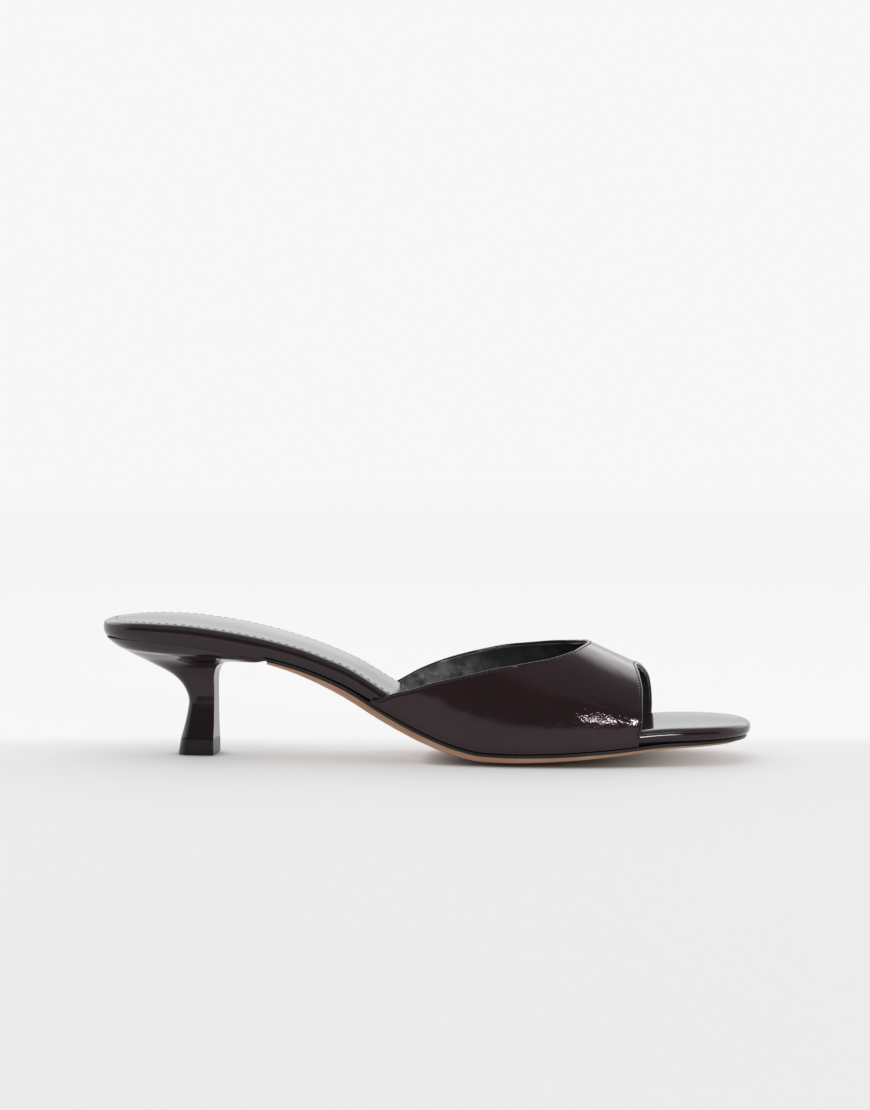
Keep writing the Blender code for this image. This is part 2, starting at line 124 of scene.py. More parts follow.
SEAT_INSET = 0.0024
STEM_BACK = 0.0320
BREAST = 0.0423
STEM_WIDTH = 0.0100
TIP_LENGTH = 0.0143
TIP_WIDTH = 0.0150
TIP_HEIGHT = 0.0060
TIP_TAPER = 0.0011
TIP_NARROWING = 0.0002
HEEL_TURN = radians(3.0)
STEM_TOP = 0.45
HEEL_ROUND_PLAN = 2.5
SEAT_BACK = 0.42
STEM_BACK_SHARE = 0.45
COVER_STEP = 0.0003

OUTLINE = table("share lateral medial", (
    (0.00, 0.765, 0.745),
    (0.12, 0.765, 0.745),
    (0.20, 0.755, 0.715),
    (0.30, 0.720, 0.590),
    (0.40, 0.715, 0.500),
    (0.50, 0.795, 0.566),
    (0.58, 0.910, 0.750),
    (0.66, 1.000, 0.935),
    (0.73, 0.997, 1.000),
    (0.80, 0.938, 0.987),
    (0.88, 0.845, 0.916),
    (0.94, 0.777, 0.855),
    (1.00, 0.724, 0.790),
))
SOLE_LINE = table("share rise spring", (
    (0.000, 1.000, 0.0),
    (0.060, 0.998, 0.0),
    (0.110, 0.976, 0.0),
    (0.198, 0.903, 0.0),
    (0.298, 0.768, 0.0),
    (0.372, 0.600, 0.0),
    (0.446, 0.346, 0.0),
    (0.504, 0.172, 0.0),
    (0.554, 0.060, 0.0),
    (0.600, 0.006, 0.0),
    (0.640, 0.000, 0.0),
    (0.690, 0.000, 0.03),
    (0.785, 0.000, 0.31),
    (0.885, 0.000, 0.80),
    (1.000, 0.000, 1.0),
))
# footbed and outsole are shares of their full thickness. tuck, welt and sole_inset are how far
# in the footbed's underside, the dark strip and the outsole lie, in millimetres
LAYERS = table("share footbed outsole tuck welt sole_inset", (
    (0.00, 0.70, 0.30, 1.7, 4.0, 1.9),
    (0.06, 0.74, 0.30, 1.7, 4.0, 1.8),
    (0.15, 0.96, 0.30, 1.6, 3.6, 1.5),
    (0.25, 1.02, 0.34, 1.3, 1.6, 1.0),
    (0.33, 1.03, 0.76, 1.3, 1.0, 0.8),
    (0.40, 1.08, 1.06, 1.3, 0.7, 0.5),
    (0.46, 1.08, 1.06, 1.3, -0.7, -0.5),
    (0.62, 1.02, 0.94, 1.3, -1.0, -0.8),
    (0.80, 0.86, 0.56, 1.3, -0.9, -0.6),
    (0.86, 0.78, 0.42, 1.3, 0.3, 0.6),
    (0.91, 0.70, 0.32, 1.3, 1.0, 1.4),
    (0.96, 0.62, 0.27, 1.2, 1.2, 2.8),
    (1.00, 0.55, 0.24, 1.2, 1.6, 4.5),
))
CREST = table("share height", (
    (0.40, 1.780),
    (0.50, 1.605),
    (0.60, 1.385),
    (0.70, 1.113),
    (0.75, 0.984),
    (0.80, 0.857),
    (0.83, 0.786),
    (0.87, 0.712),
))
TOPLINE = table("turn share", (
    (0.0000, 0.4227),
    (0.0175, 0.4420),
    (0.0330, 0.4560),
    (0.0630, 0.4880),
    (0.0960, 0.5210),
    (0.1540, 0.5870),
    (0.2150, 0.6530),
    (0.2890, 0.7060),
    (0.3830, 0.7370),
    (0.5000, 0.7487),
    (0.6120, 0.7350),
    (0.6700, 0.7140),
    (0.7180, 0.6840),
    (0.7580, 0.6530),
    (0.8135, 0.5920),
    (0.8760, 0.5250),
    (0.9283, 0.4790),
    (0.9510, 0.4620),
    (0.9750, 0.4430),
    (1.0000, 0.4130),
))
FRONT_EDGE = table("turn share", (
    (0.00, 0.8350),
    (0.10, 0.8405),
    (0.25, 0.8395),
    (0.40, 0.8310),
    (0.50, 0.8240),
    (0.60, 0.8292),
    (0.75, 0.8392),
    (0.90, 0.8412),
    (1.00, 0.8395),
))
HEEL_FLARE = table("back back_height front front_height half", (
    (0.088, 0.930, 0.04, 0.820, 0.850),
    (0.172, 0.895, 0.20, 0.812, 0.680),
    (0.294, 0.848, 0.42, 0.806, 0.505),
    (0.423, 0.805, 0.63, 0.802, 0.355),
    (0.548, 0.760, 0.79, 0.790, 0.232),
    (0.674, 0.717, 0.91, 0.764, 0.145),
    (0.799, 0.667, 0.97, 0.720, 0.070),
    (0.906, 0.600, 1.00, 0.655, 0.024),
    (0.974, 0.520, 1.00, 0.550, 0.000),
))
HEEL_STEM = table("height back half", (
    (0.00, 1.00, 1.00),
    (0.35, 0.55, 0.42),
    (0.70, 0.18, 0.18),
    (1.00, 0.00, 0.06),
))

# Creases laid on the vamp one by one: a line from one place on it to another, by its share of the
# length and its turn round the section. width and trough are in millimetres, and a ridge is a
# negative trough
CREASES = table("share_a turn_a share_b turn_b width trough", (
    (0.735, 0.170, 0.815, 0.125, 1.3, 0.055),
    (0.745, 0.152, 0.822, 0.108, 1.1, -0.050),
    (0.720, 0.135, 0.800, 0.088, 1.4, 0.045),
    (0.760, 0.185, 0.825, 0.150, 1.5, -0.040),
    (0.790, 0.130, 0.832, 0.085, 0.9, 0.060),
    (0.800, 0.105, 0.832, 0.070, 0.9, -0.055),
    (0.655, 0.185, 0.685, 0.110, 2.4, 0.035),
    (0.690, 0.205, 0.705, 0.130, 2.0, -0.030),
    (0.640, 0.160, 0.700, 0.175, 2.2, 0.030),
    (0.735, 0.820, 0.815, 0.870, 1.4, 0.050),
    (0.745, 0.845, 0.820, 0.895, 1.2, -0.045),
    (0.770, 0.560, 0.812, 0.640, 2.2, 0.035),
    (0.775, 0.440, 0.810, 0.360, 2.2, 0.030),
))

# ---------------------------------------------------------------- sizes of the finer forms
MM = 0.001
WELD = 0.000002                 # points closer than this become one
TINY = 1e-6                     # keeps a length off zero
SLOPE_STEP, LINE_STEP = 0.001, 0.002    # steps over which slopes are measured
TABLE_STEP = 0.0002             # step of the curves that are read from samples
PLATE_STATIONS, PLATE_COLUMNS = 240, 20
SOCK_SEAM = 0.00010             # the sock and the wrapped band part by this round their edge
SEAM_ROUND, SEAM_SINK = 0.3, 0.05   # shares of the seam: its rounded edges, the band's top
SOCK_ROLL_START = radians(7.0)  # the sock's rolled edge starts this far round
SOCK_ROLL_STEPS = 12
BAND_STEPS = 14
BAND_LEAN = 0.00035             # the band leans in by this at its top
BAND_LEAN_START = 0.32          # from this share of its height
BAND_LIFT_LENGTH = 0.004        # the band rises off the heel's seat over this, at the lip
BAND_TUCK_POWER = 2.4
# Rounded edges from below to above: share of their radius inwards, and share of the height
WELT_ROUND = 0.00030
WELT_PROFILE = ((1.0, 0.02), (0.35, 0.10), (0.0, 0.30),
                (0.0, 0.70), (0.35, 0.90), (1.0, 0.98))
OUTSOLE_ROUND = 0.00035
OUTSOLE_PROFILE = ((0.35, 0.10), (0.0, 0.30), (0.0, 0.85), (0.25, 0.97), (1.0, 1.0))
OUTSOLE_SEAM = 0.00006
COVER_SEAT_INSET = 0.0018       # the heel's cover runs up under the band
COVER_SEAT_LIFT = 0.00018
COVER_SEAT_EDGE = 0.0001        # the cover's rim starts this far below the sole's line
COVER_SEAT_ROUND = 0.03         # share of the seat's length that its back rounds over
COVER_SEAT_HALF = 0.0005        # least half width of the seat
COVER_RIM = 0.00045             # height of the cover's upright rim at the lip
COVER_TUCK = 0.0002             # the flare stays this far inside the seat
LIP_THIN = 0.0003               # the lip's skived front edge is thinner by this
LIP_RECESS = 0.0050             # the cover draws in by this towards the lip
LIP_RECESS_FROM = (0.044, 0.058)
HEEL_STEPS, BREAST_STEPS, HEEL_BETWEEN = 48, 8, 9
HEEL_CRISP = radians(40)        # edges steeper than this stay sharp
TIP_SEAM = 0.00015
TIP_BEVEL, TIP_WORN = 0.0002, 0.00025   # at both of its edges, and more where it touches down
LEATHER = 0.00105               # thickness of the vamp's leather at its folded borders
LINING_GAP = 0.00003
LEAST_RATE = 0.05               # of the distance from a border to the step in x
LINING_STEP = 0.0005            # the lining stops this far inside those borders
VAMP_TURNS, VAMP_RUNS = 230, 180
LINING_TURNS, LINING_RUNS = 150, 90
# Relief of the vamp and the lining: noise of so many waves to a metre, and its depth
VAMP_WAVES = ((95.0, 0.00007), (260.0, 0.000022))
LINING_WAVES = ((120.0, 0.00040), (330.0, 0.00020))
LINING_FOLD = (190.0, 0.00035)
LINING_FREE = (0.0012, 0.0055)  # the lining is loose from this to this above the footbed
# Lines along the vamp's borders: how far in, how wide and how deep. A ridge is a negative depth
VAMP_STITCH_INSET = 0.0011
BORDER_LINES = ((VAMP_STITCH_INSET, 0.00024, 0.00018), (0.0005, 0.0003, -0.00006))
CREASE_END = 0.08               # a crease starts and ends this far into its half wave
Stitch = namedtuple("Stitch", "pitch length width rise")    # rise is a share of the width
VAMP_STITCH = Stitch(0.0020, 0.0013, 0.00040, 0.10)
VAMP_STITCH_DEPTH = 0.00008
VAMP_STITCH_TURNS, VAMP_STITCH_PATH = (0.022, 0.978), 700
SOCK_STITCH = Stitch(0.0030, 0.0019, 0.00062, 0.03)
SOCK_STITCH_INSET, SOCK_STITCH_END, SOCK_STITCH_PATH = 0.0036, 0.47, 900
SOCK_EDGE_LEAN = 0.07           # slope of the sock's rolled edge where it is stitched
STITCH_RINGS, STITCH_SIDES = 6, 6
STITCH_FLATNESS, STITCH_TIP = 0.8, 0.08


def lerp(a, b, t):
    return a + (b - a) * t


def smooth(low, high, value):
    """0 below low, 1 above high, and a soft step between."""
    t = min(1.0, max(0.0, (value - low) / (high - low)))
    return t * t * (3.0 - 2.0 * t)


def curve(rows, key, value):
    """Smooth function through one column of a table, which never overshoots its rows."""
    xs = [getattr(row, key) for row in rows]
    ys = [getattr(row, value) for row in rows]
    slopes = [(b - a) / (d - c) for a, b, c, d in zip(ys, ys[1:], xs, xs[1:])]
    tangents = [slopes[0]]
    for before, after in zip(slopes, slopes[1:]):
        tangents.append(0.0 if before * after <= 0 else 2 * before * after / (before + after))
    tangents.append(slopes[-1])

    def at(x):
        if x <= xs[0]:
            return ys[0]
        if x >= xs[-1]:
            return ys[-1]
        i = bisect_right(xs, x) - 1
        step = xs[i + 1] - xs[i]
        t = (x - xs[i]) / step
        return ((2 * t**3 - 3 * t**2 + 1) * ys[i] + (t**3 - 2 * t**2 + t) * step * tangents[i]
                + (3 * t**2 - 2 * t**3) * ys[i + 1] + (t**3 - t**2) * step * tangents[i + 1])
    return at


SIDE_SHARE = {-1: curve(OUTLINE, "share", "lateral"), 1: curve(OUTLINE, "share", "medial")}
BALL_WIDTH = {-1: LATERAL_WIDTH, 1: MEDIAL_WIDTH}
RISE, SPRING = curve(SOLE_LINE, "share", "rise"), curve(SOLE_LINE, "share", "spring")
LAYER = {name: curve(LAYERS, "share", name) for name in LAYERS[0]._fields[1:]}
CREST_SHARE = curve(CREST, "share", "height")
TOPLINE_SHARE = curve(TOPLINE, "turn", "share")
FRONT_SHARE = curve(FRONT_EDGE, "turn", "share")


def end_round(distance, length, power):
    """Share of the full width that is left this near a rounded end."""
    if distance >= length:
        return 1.0
    return max(0.0, 1.0 - (1.0 - max(distance, 0.0) / length) ** power) ** (1.0 / power)


def half_width(x, side):
    return (BALL_WIDTH[side] * SIDE_SHARE[side](x / LENGTH)
            * end_round(x, HEEL_ROUND, HEEL_ROUND_POWER)
            * end_round(LENGTH - x, TOE_ROUND, TOE_ROUND_POWER))


def slope_of(function, x, step):
    return (function(x + step) - function(x - step)) / (2 * step)


def outset_width(x, side, distance):
    slope = slope_of(lambda near: half_width(near, side), x, SLOPE_STEP)
    return half_width(x, side) + distance * sqrt(1 + slope * slope)


def sole_line(x):
    share = x / LENGTH
    return BALL_HEIGHT + (HEEL_HEIGHT - BALL_HEIGHT) * RISE(share) + TOE_SPRING * SPRING(share)


def above_line(x, depth):
    slope = slope_of(sole_line, x, LINE_STEP)
    return sole_line(x) + depth * sqrt(1 + slope * slope)


def layer(x, column):
    return LAYER[column](x / LENGTH)


def rand_top(x):
    return above_line(x, RAND_THICKNESS)


def footbed_top(x):
    return above_line(x, RAND_THICKNESS + GAP + FOOTBED_THICKNESS * layer(x, "footbed"))


def sock_top(x):
    return footbed_top(x) + GAP + SOCK_THICKNESS


def sock_bottom(x):
    return sock_top(x) - SOCK_THICKNESS


def tip_fade(x):
    return end_round(x, HEEL_ROUND, 2.0) * end_round(LENGTH - x, TOE_ROUND, 2.0)


def dish(x, across):
    return -DISH * (1.0 - across * across) * tip_fade(x)


def outsole_bottom(x, across):
    edge = above_line(x, -GAP - OUTSOLE_EDGE * layer(x, "outsole"))
    fade = min(1.0, layer(x, "outsole")) * tip_fade(x)
    bend = max(0.0, (abs(across) - CROWN_FLAT) / (1.0 - CROWN_FLAT))
    return max(FLOOR, edge - OUTSOLE_CROWN * fade * (1.0 - bend * bend))


def axis_shift():
    samples = [LENGTH * i / 200 for i in range(201)]
    return (max(half_width(x, 1) for x in samples) - max(half_width(x, -1) for x in samples)) / 2


SHIFT = Vector((-LENGTH / 2, -axis_shift(), 0.0))


# ---------------------------------------------------------------- meshes
def add_piece(name, points, faces, material, node=None, crisp=radians(45)):
    """Mesh object from points measured from the back of the heel. It rides on the root body."""
    data = bpy.data.meshes.new(name)
    mesh = bmesh.new()
    corners = [mesh.verts.new(Vector(point) + SHIFT) for point in points]
    for face in faces:
        mesh.faces.new([corners[i] for i in face])
    loose = [corner for corner in mesh.verts if not corner.link_faces]
    bmesh.ops.delete(mesh, geom=loose, context="VERTS")
    bmesh.ops.remove_doubles(mesh, verts=mesh.verts, dist=WELD)
    bmesh.ops.dissolve_degenerate(mesh, edges=mesh.edges, dist=WELD / 2)
    bmesh.ops.recalc_face_normals(mesh, faces=mesh.faces)
    mesh.to_mesh(data)
    mesh.free()
    data.shade_smooth()
    data.set_sharp_from_angle(angle=crisp)
    data.materials.append(material)
    piece = bpy.data.objects.new(name, data)
    bpy.context.scene.collection.objects.link(piece)
    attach(piece, "root")
    if node:
        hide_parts(node)
    return piece


def skin(rings, capped):
    """Points and faces of closed rings joined in a row, with a face over each end if capped."""
    count = len(rings[0])
    points = [point for ring in rings for point in ring]
    faces = [(low * count + i, low * count + (i + 1) % count,
              (low + 1) * count + (i + 1) % count, (low + 1) * count + i)
             for low in range(len(rings) - 1) for i in range(count)]
    if capped:
        faces.append(tuple(reversed(range(count))))
        faces.append(tuple(range((len(rings) - 1) * count, len(rings) * count)))
    return points, faces


def cosine_steps(count):
    """0 to 1 in steps that are short at both ends."""
    return [(1.0 - cos(pi * i / count)) / 2 for i in range(count + 1)]


def tabulate(function, start, end):
    """The same function, read from samples so close that the difference doesn't show."""
    count = ceil((end - start) / TABLE_STEP)
    values = [function(lerp(start, end, i / count)) for i in range(count + 1)]

    def at(x):
        place = (x - start) / (end - start) * count
        i = min(count - 1, max(0, int(place)))
        return lerp(values[i], values[i + 1], place - i)
    return at


# ---------------------------------------------------------------- plates on the outline
def outline_point(turn, start, end, side, inset):
    """Point of the outline at turn 0 to 1 from start to end, moved inwards by inset."""
    def plain(t):
        x = lerp(start, end, (1.0 - cos(pi * t)) / 2)
        return x, half_width(x, side)
    step = 0.0015
    (xa, wa), (xb, wb) = plain(max(0.0, turn - step)), plain(min(1.0, turn + step))
    size = hypot(xb - xa, wb - wa)
    x, width = plain(turn)
    if width <= 0.0:
        return (x + inset if turn < 0.5 else x - inset), 0.0
    return x + inset * (wb - wa) / size, max(0.0, width - inset * (xb - xa) / size)


def plate(name, start, end, levels, material, node=None):
    """Closed plate on the outline. levels run from its lower face to its upper one: how far in
    the edge lies at x, and its height at x and across. Only the first and the last are filled."""
    columns = [-cos(pi * i / PLATE_COLUMNS) for i in range(PLATE_COLUMNS + 1)]
    points, faces, rims = [], [], []
    for inset_at, height_at in levels:
        rows = []
        for share, turn in zip(cosine_steps(PLATE_STATIONS), range(PLATE_STATIONS + 1)):
            inset = inset_at(lerp(start, end, share))
            (ax, aw), (bx, bw) = [outline_point(turn / PLATE_STATIONS, start, end, side, inset)
                                  for side in (-1, 1)]
            closed = aw + bw < 2 * WELD
            row = []
            for across in columns:
                x = lerp(ax, bx, (across + 1) / 2)
                row.append(len(points))
                points.append((x, lerp(-aw, bw, (across + 1) / 2),
                               height_at(x, 1.0 if closed else across)))
            rows.append(row)
        if len(rims) in (0, len(levels) - 1):
            for near, far in zip(rows, rows[1:]):
                faces += [(a, d, c, b) for a, b, c, d in zip(near, near[1:], far[1:], far)]
        rims.append([row[0] for row in rows] + rows[-1][1:-1]
                    + [row[-1] for row in reversed(rows)] + rows[0][-2:0:-1])
    for low, high in zip(rims, rims[1:]):
        count = len(low)
        faces += [(low[i], low[(i + 1) % count], high[(i + 1) % count], high[i])
                  for i in range(count)]
    return add_piece(name, points, faces, material, node)


def constant(value):
    return lambda x: value


def sock_roll():
    """Levels of the sock's rolled edge, from steep to level."""
    first = SOCK_ROLL_START
    levels = []
    for step in range(SOCK_ROLL_STEPS + 1):
        angle = lerp(first, pi / 2, step / SOCK_ROLL_STEPS)
        drop = SOCK_ROLL_DROP * (1.0 - sin(angle)) / (1.0 - sin(first))
        inset = BAND_LEAN + (SOCK_ROLL - BAND_LEAN) * (cos(first) - cos(angle)) / cos(first)
        levels.append((constant(inset),
                       lambda x, a, drop=drop, last=step == SOCK_ROLL_STEPS:
                       sock_top(x) - drop + (dish(x, a) if last else 0.0)))
    return levels


def sock_edge_drop(inset):
    """How far the rolled edge lies below the sock's top, this far in from the outline."""
    share = min(1.0, max(0.0, 1.0 - inset / SOCK_ROLL))
    return SOCK_ROLL_DROP * (1.0 - sqrt(1.0 - share * share))


def make_sock(material):
    low = SOCK_SEAM / 2
    levels = [(constant(BAND_LEAN + SOCK_SEAM), lambda x, a: sock_bottom(x) + dish(x, a)),
              (constant(BAND_LEAN + SEAM_ROUND * SOCK_SEAM),
               lambda x, a: sock_bottom(x) + SEAM_ROUND * low),
              (constant(BAND_LEAN), lambda x, a: sock_bottom(x) + low)]
    return plate("sock_leather", 0.0, LENGTH, levels + sock_roll(), material,
                 "sock")


def make_band(material):
    """Leather wrapped round the footbed's edge. Behind the lip it comes down to the heel's seat."""
    def bottom(x):
        cover = 1.0 - smooth(LIP_END - BAND_LIFT_LENGTH, LIP_END, x)
        return above_line(x, lerp(RAND_THICKNESS + GAP, 0.0, cover))

    def level(share):
        tuck = (1.0 - share) ** BAND_TUCK_POWER
        lean = BAND_LEAN * max(0.0, (share - BAND_LEAN_START) / (1.0 - BAND_LEAN_START)) ** 2
        return (lambda x: MM * tuck * layer(x, "tuck") + lean,
                lambda x, a: lerp(bottom(x), sock_bottom(x) - SOCK_SEAM, share))
    levels = [level(step / BAND_STEPS) for step in range(BAND_STEPS + 1)]
    levels += [(constant(BAND_LEAN + SEAM_ROUND * SOCK_SEAM),
                lambda x, a: sock_bottom(x) - SEAM_ROUND * SOCK_SEAM),
               (constant(BAND_LEAN + SOCK_SEAM),
                lambda x, a: sock_bottom(x) - SEAM_SINK * SOCK_SEAM + dish(x, a))]
    return plate("footbed_wrap", 0.0, LENGTH, levels, material, "footbed")


def make_welt(material):
    """Dark strip between the outsole and the footbed, with softly rounded edges."""
    def edge(depth, height):
        return (lambda x: MM * layer(x, "welt") + WELT_ROUND * depth,
                lambda x, a: lerp(sole_line(x), rand_top(x), height))
    return plate("rand_strip", 0.0, LENGTH, [edge(*row) for row in WELT_PROFILE], material,
                 "rand")


def make_outsole(material):
    def inset(depth):
        return lambda x: MM * layer(x, "sole_inset") + OUTSOLE_ROUND * depth

    def edge(depth, height):
        return (inset(depth),
                lambda x, a: lerp(outsole_bottom(x, 1.0), above_line(x, -OUTSOLE_SEAM), height))
    levels = [(inset(1.0), outsole_bottom)] + [edge(*row) for row in OUTSOLE_PROFILE]
    return plate("outsole_leather", LIP_END + GAP, LENGTH, levels, material,
                 "outsole")


# ---------------------------------------------------------------- upper
UPPER_START, UPPER_END = 0.39 * LENGTH, 0.87 * LENGTH
upper_base = tabulate(lambda x: rand_top(x) + GAP, UPPER_START, UPPER_END)
upper_shoulder = tabulate(sock_top, UPPER_START, UPPER_END)
upper_crest = tabulate(lambda x: INSTEP_HEIGHT * CREST_SHARE(x / LENGTH), UPPER_START, UPPER_END)
upper_reach = {side: tabulate(lambda x, side=side: outset_width(
    x, side, UPPER_CLEARANCE + UPPER_WALL) - side * CREST_OFFSET, UPPER_START, UPPER_END)
               for side in (-1, 1)}


def upper_outside(x, turn):
    """Outer face of the upper: upright beside the footbed, then arched over to the crest."""
    side = -1 if turn <= 0.5 else 1
    base, shoulder, crest = upper_base(x), upper_shoulder(x), upper_crest(x)
    height = base + (crest - base) * max(0.0, sin(pi * turn)) ** (2 / SECTION_POWER)
    climb = min(1.0, max(0.0, height - shoulder) / (crest - shoulder))
    reach = upper_reach[side](x) * max(0.0, 1.0 - climb ** SECTION_POWER) ** (1 / SECTION_POWER)
    tuck = BOTTOM_TUCK * max(0.0, 1.0 - (height - base) / TUCK_HEIGHT) ** 2
    return Vector((x, CREST_OFFSET + side * (reach - tuck), height))


def upper_normal(x, turn):
    """Outward normal of the outer face, level along both feather edges."""
    if turn in (0.0, 1.0):
        return Vector((0.0, -1.0 if turn == 0.0 else 1.0, 0.0))
    step_x, step_t = 0.0008, 0.004
    along = upper_outside(x + step_x, turn) - upper_outside(x - step_x, turn)
    across = (upper_outside(x, min(1.0, turn + step_t))
              - upper_outside(x, max(0.0, turn - step_t)))
    return along.cross(across).normalized()


def edge_place(edge, turn):
    """x on the topline or the front edge, and how much distance from it a step in x makes."""
    share = TOPLINE_SHARE if edge == "topline" else FRONT_SHARE
    x = LENGTH * share(turn)
    step = 0.002
    low, high = max(0.0, turn - step), min(1.0, turn + step)
    tangent = (upper_outside(LENGTH * share(high), high)
               - upper_outside(LENGTH * share(low), low)).normalized()
    run = slope_of(lambda near: upper_outside(near, turn), x, SLOPE_STEP / 2)
    return x, max(LEAST_RATE, run.cross(tangent).length)


def round_over(distance, radius):
    """How deep a rounded border lies, this far in from it."""
    if distance >= radius:
        return 0.0
    return radius * (1.0 - sqrt(max(0.0, 1.0 - (1.0 - distance / radius) ** 2)))


def groove(distance, at, width, depth):
    return depth * exp(-((distance - at) / width) ** 2)


CREASE_LINES = [(upper_outside(row.share_a * LENGTH, row.turn_a),
                 upper_outside(row.share_b * LENGTH, row.turn_b),
                 MM * row.width, MM * row.trough) for row in CREASES]


def crease_depth(point):
    """Depth of the listed creases at a point: troughs are positive, ridges negative."""
    depth = 0.0
    for start, end, width, trough in CREASE_LINES:
        span = end - start
        share = min(1.0, max(0.0, (point - start).dot(span) / span.length_squared))
        distance = (point - start - span * share).length
        if distance < 3 * width:
            fade = sin(pi * lerp(CREASE_END, 1.0 - CREASE_END, share))
            depth += trough * fade * exp(-(distance / width) ** 2)
    return depth


def upper_sheet(name, turns, runs, margins, depths, extra, material, node=None):
    """One closed layer of the upper's wall with rounded borders. margins are how far it lies
    inside the topline and the front edge, depths where its two faces are, and extra the depth
    added to its outer and inner face at a point, from the distances to the two borders."""
    outer_depth, inner_depth = depths
    radius = (inner_depth - outer_depth) / 2
    loops = []
    for turn in (i / turns for i in range(turns + 1)):
        rear, rear_rate = edge_place("topline", turn)
        front, front_rate = edge_place("front", turn)
        rear += margins[0] / rear_rate
        front -= margins[1] / front_rate
        outer, inner = [], []
        for share in cosine_steps(runs):
            x = lerp(rear, front, share)
            from_rear, from_front = (x - rear) * rear_rate, (front - x) * front_rate
            point, normal = upper_outside(x, turn), upper_normal(x, turn)
            border = min(radius, round_over(from_rear, radius) + round_over(from_front, radius))
            out, back = extra(point, from_rear, from_front)
            held = 1.0 - border / radius
            outer.append(point - normal * (outer_depth + border + out * held))
            inner.append(point - normal * (inner_depth - border + back * held))
        loops.append(outer + inner[-2:0:-1])
    points, faces = skin(loops, capped=False)
    count = len(loops[0])
    for base in (0, turns * count):
        faces += [(base + i, base + i + 1, base + count - i - 1, base + count - i)
                  for i in range(1, runs - 1)]
        faces.append((base, base + 1, base + count - 1))
        faces.append((base + runs - 1, base + runs, base + runs + 1))
    return add_piece(name, points, faces, material, node)


def waves(point, rows):
    return sum(noise.noise(point * pace) * depth for pace, depth in rows)


def vamp_relief(point, from_rear, from_front):
    """Stitch grooves, folds, creases and the soft unevenness of hand-lasted leather."""
    depth = waves(point, VAMP_WAVES)
    for row in BORDER_LINES:
        depth += groove(from_rear, *row) + groove(from_front, *row)
    return depth + crease_depth(point), 0.0


def lining_relief(point, from_rear, from_front):
    """The lining is drawn a little loose, with soft crumples above the footbed."""
    above = smooth(*LINING_FREE, point.z - upper_shoulder(point.x))
    pace, depth = LINING_FOLD
    crumple = waves(point, LINING_WAVES) + abs(noise.noise(point * pace)) * depth
    return 0.0, crumple * above


def make_upper(leather, lining, thread):
    upper_sheet("vamp_leather", VAMP_TURNS, VAMP_RUNS, (0.0, 0.0), (0.0, LEATHER), vamp_relief,
                leather, "upper")
    upper_sheet("vamp_lining", LINING_TURNS, LINING_RUNS, (LINING_STEP, LINING_STEP),
                (LEATHER + LINING_GAP, UPPER_WALL), lining_relief, lining,
                "upper")
    for edge, inwards in (("topline", 1), ("front", -1)):
        path = []
        for step in range(VAMP_STITCH_PATH + 1):
            turn = lerp(*VAMP_STITCH_TURNS, step / VAMP_STITCH_PATH)
            x, rate = edge_place(edge, turn)
            x += inwards * VAMP_STITCH_INSET / rate
            normal = upper_normal(x, turn)
            path.append((upper_outside(x, turn) - normal * VAMP_STITCH_DEPTH, normal))
        make_stitches(edge + "_stitches", path, VAMP_STITCH, thread)


# ---------------------------------------------------------------- stitches
def make_stitches(name, path, stitch, material):
    """Row of thread ends laid along a path of points and normals, each a low rounded bar whose
    middle lies its rise above the path."""
    points, faces = [], []
    travelled, target = 0.0, stitch.pitch
    for (start, normal), (end, _) in zip(path, path[1:]):
        step = (end - start).length
        travelled += step
        if travelled < target or step == 0.0:
            continue
        target += stitch.pitch
        along = (end - start).normalized()
        side = normal.cross(along).normalized()
        rings = []
        for ring in range(STITCH_RINGS + 1):
            share = ring / STITCH_RINGS
            full = sqrt(max(0.0, 1.0 - (2 * share - 1) ** 4))
            centre = (start + along * stitch.length * (share - 0.5)
                      + normal * stitch.width * stitch.rise * full)
            angles = [2 * pi * k / STITCH_SIDES for k in range(STITCH_SIDES)]
            rings.append([centre + (side * cos(angle) + normal * STITCH_FLATNESS * sin(angle))
                          * stitch.width / 2 * max(STITCH_TIP, full) for angle in angles])
        ring_points, ring_faces = skin(rings, capped=True)
        base = len(points)
        points += ring_points
        faces += [tuple(base + i for i in face) for face in ring_faces]
    return add_piece(name, points, faces, material)


def make_sock_stitches(thread):
    """Along the lateral edge from the vamp, round the heel, and back up the medial edge."""
    path = []
    last = acos(1.0 - 2.0 * SOCK_STITCH_END) / pi
    count = SOCK_STITCH_PATH
    for side, steps in ((-1, range(count, -1, -1)), (1, range(1, count + 1))):
        for step in steps:
            x, width = outline_point(last * step / count, 0.0, LENGTH, side, SOCK_STITCH_INSET)
            across = width / max(MM, half_width(x, side))
            height = sock_top(x) + dish(x, across) - sock_edge_drop(SOCK_STITCH_INSET)
            lean = Vector((-slope_of(sock_top, x, SLOPE_STEP), side * SOCK_EDGE_LEAN, 1.0))
            path.append((Vector((x, side * width, height)), lean.normalized()))
    make_stitches("sock_stitches", path, SOCK_STITCH, thread)


